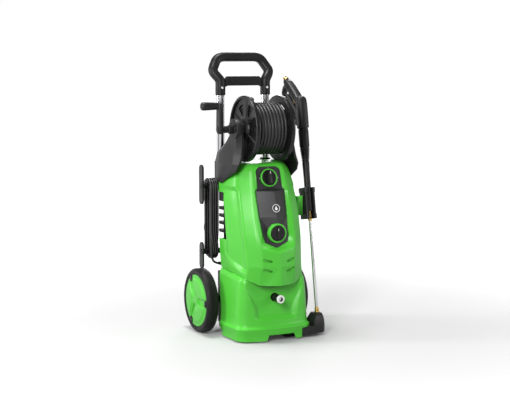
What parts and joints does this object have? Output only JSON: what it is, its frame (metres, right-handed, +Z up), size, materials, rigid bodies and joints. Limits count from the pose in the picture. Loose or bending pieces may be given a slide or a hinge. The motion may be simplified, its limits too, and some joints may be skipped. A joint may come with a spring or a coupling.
{
  "type": "pressure washer",
  "caption": "Upright electric pressure washer on wheels, with a hose reel and crank, a telescopic handle, a cable hank and a parked spray lance.",
  "frame": {"origin": "middle of the machine's footprint, on the floor", "axes": "+Z up, +Y to the machine's back, -Y the side of the control panel, +X to its right-hand side with the spray lance"},
  "size_m": [0.3898, 0.3565, 0.8883],
  "materials": {
    "green_shell": "satin moulded plastic",
    "black_plastic": "fine-grained moulded plastic",
    "dark_grey_panel": "satin moulded plastic",
    "rubber": "matt rubber",
    "tyre": "matt hard tyre",
    "chrome_tube": "polished tube",
    "lance_steel": "drawn steel",
    "brass": "turned brass",
    "hose_black": "smooth hose jacket",
    "cable_black": "matt cable jacket",
    "motor_metal": "cast housing",
    "pump_alloy": "cast alloy"
  },
  "bodies": {
    "washer": {"base_chassis": "black_plastic", "base_skirt": "green_shell", "front_cover": "green_shell", "rear_cover": "black_plastic", "reel_carrier": "black_plastic", "control_panel": "dark_grey_panel", "power_knob_ring": "green_shell", "dial_ring": "green_shell", "water_inlet": "black_plastic", "left_front_foot": "rubber", "right_front_foot": "rubber", "wheel_axle": "lance_steel", "left_reel_arm": "black_plastic", "right_reel_arm": "black_plastic", "lance_holder": "black_plastic", "holder_bracket": "green_shell", "nozzle_cup": "black_plastic", "lower_cable_hook": "black_plastic", "cable_strain_relief": "black_plastic", "cable_hank": "cable_black", "cable_lead": "cable_black", "cable_tail": "cable_black", "plug": "black_plastic", "motor_housing": "motor_metal", "pump_body": "pump_alloy", "pump_head": "pump_alloy", "switch_box": "black_plastic", "outlet_pipe": "rubber"},
    "handle": {"left_handle_tube": "chrome_tube", "right_handle_tube": "chrome_tube", "handle_grip": "black_plastic", "handle_brace": "black_plastic", "left_grip_screw": "lance_steel", "right_grip_screw": "lance_steel"},
    "left_wheel": {"left_tyre": "tyre", "left_wheel_core": "black_plastic", "left_hub_cap": "green_shell"},
    "right_wheel": {"right_tyre": "tyre", "right_wheel_core": "black_plastic", "right_hub_cap": "green_shell"},
    "reel": {"left_reel_flange": "black_plastic", "right_reel_flange": "black_plastic", "reel_drum": "black_plastic", "reel_shaft": "lance_steel", "hose_winding": "hose_black", "hose_end": "black_plastic", "crank_arm": "black_plastic"},
    "crank_handle": {"crank_grip": "black_plastic"},
    "power_switch": {"power_knob": "black_plastic"},
    "detergent_valve": {"detergent_dial": "black_plastic"},
    "gun": {"gun_body": "black_plastic", "gun_inlet": "brass", "lance_sleeve": "black_plastic", "lance_tube": "lance_steel", "nozzle": "brass", "trigger_spring": "lance_steel"},
    "trigger_lever": {"trigger": "black_plastic"},
    "trigger_catch": {"trigger_lock": "brass"},
    "cable_catch": {"upper_cable_hook": "black_plastic"},
    "rotor": {"motor_rotor": "black_plastic"}
  },
  "joints": [
    {"name": "handle_slide", "type": "slide", "parent": "washer", "child": "handle", "axis": [0, 0, 1], "range_m": [-0.14, 0]},
    {"name": "left_wheel_spin", "type": "hinge", "parent": "washer", "child": "left_wheel", "pos_m": [-0.146, 0.0765, 0.1025], "axis": [1, 0, 0], "continuous": true},
    {"name": "right_wheel_spin", "type": "hinge", "parent": "washer", "child": "right_wheel", "pos_m": [0.17, 0.0765, 0.1025], "axis": [1, 0, 0], "continuous": true},
    {"name": "reel_spin", "type": "hinge", "parent": "washer", "child": "reel", "pos_m": [0.012, -0.0435, 0.653], "axis": [1, 0, 0], "continuous": true},
    {"name": "crank_grip_spin", "type": "hinge", "parent": "reel", "child": "crank_handle", "pos_m": [-0.1393, -0.0435, 0.725], "axis": [1, 0, 0], "continuous": true},
    {"name": "power_switch_turn", "type": "hinge", "parent": "washer", "child": "power_switch", "pos_m": [0.012, -0.091, 0.5025], "axis": [0, -0.9643, 0.2647], "range_deg": [0, 90]},
    {"name": "detergent_turn", "type": "hinge", "parent": "washer", "child": "detergent_valve", "pos_m": [0.012, -0.155, 0.337], "axis": [0, -1, 0], "range_deg": [-135, 135]},
    {"name": "gun_lift", "type": "slide", "parent": "washer", "child": "gun", "axis": [0, 0.1705, 0.9854], "range_m": [0, 0.12]},
    {"name": "trigger_pull", "type": "hinge", "parent": "gun", "child": "trigger_lever", "pos_m": [0.172, 0.01858, 0.69043], "axis": [1, 0, 0], "range_deg": [0, 6], "stiffness_Nm_per_rad": 0.6, "springref_deg": -5.73},
    {"name": "trigger_lock_turn", "type": "hinge", "parent": "trigger_lever", "child": "trigger_catch", "pos_m": [0.172, 0.04627, 0.72613], "axis": [1, 0, 0], "range_deg": [0, 25]},
    {"name": "cable_catch_turn", "type": "hinge", "parent": "washer", "child": "cable_catch", "pos_m": [-0.1425, 0.07, 0.47], "axis": [1, 0, 0], "range_deg": [0, 180]},
    {"name": "rotor_spin", "type": "hinge", "parent": "washer", "child": "rotor", "pos_m": [0.012, -0.0135, 0.332], "axis": [0, 0, 1], "continuous": true}
  ]
}
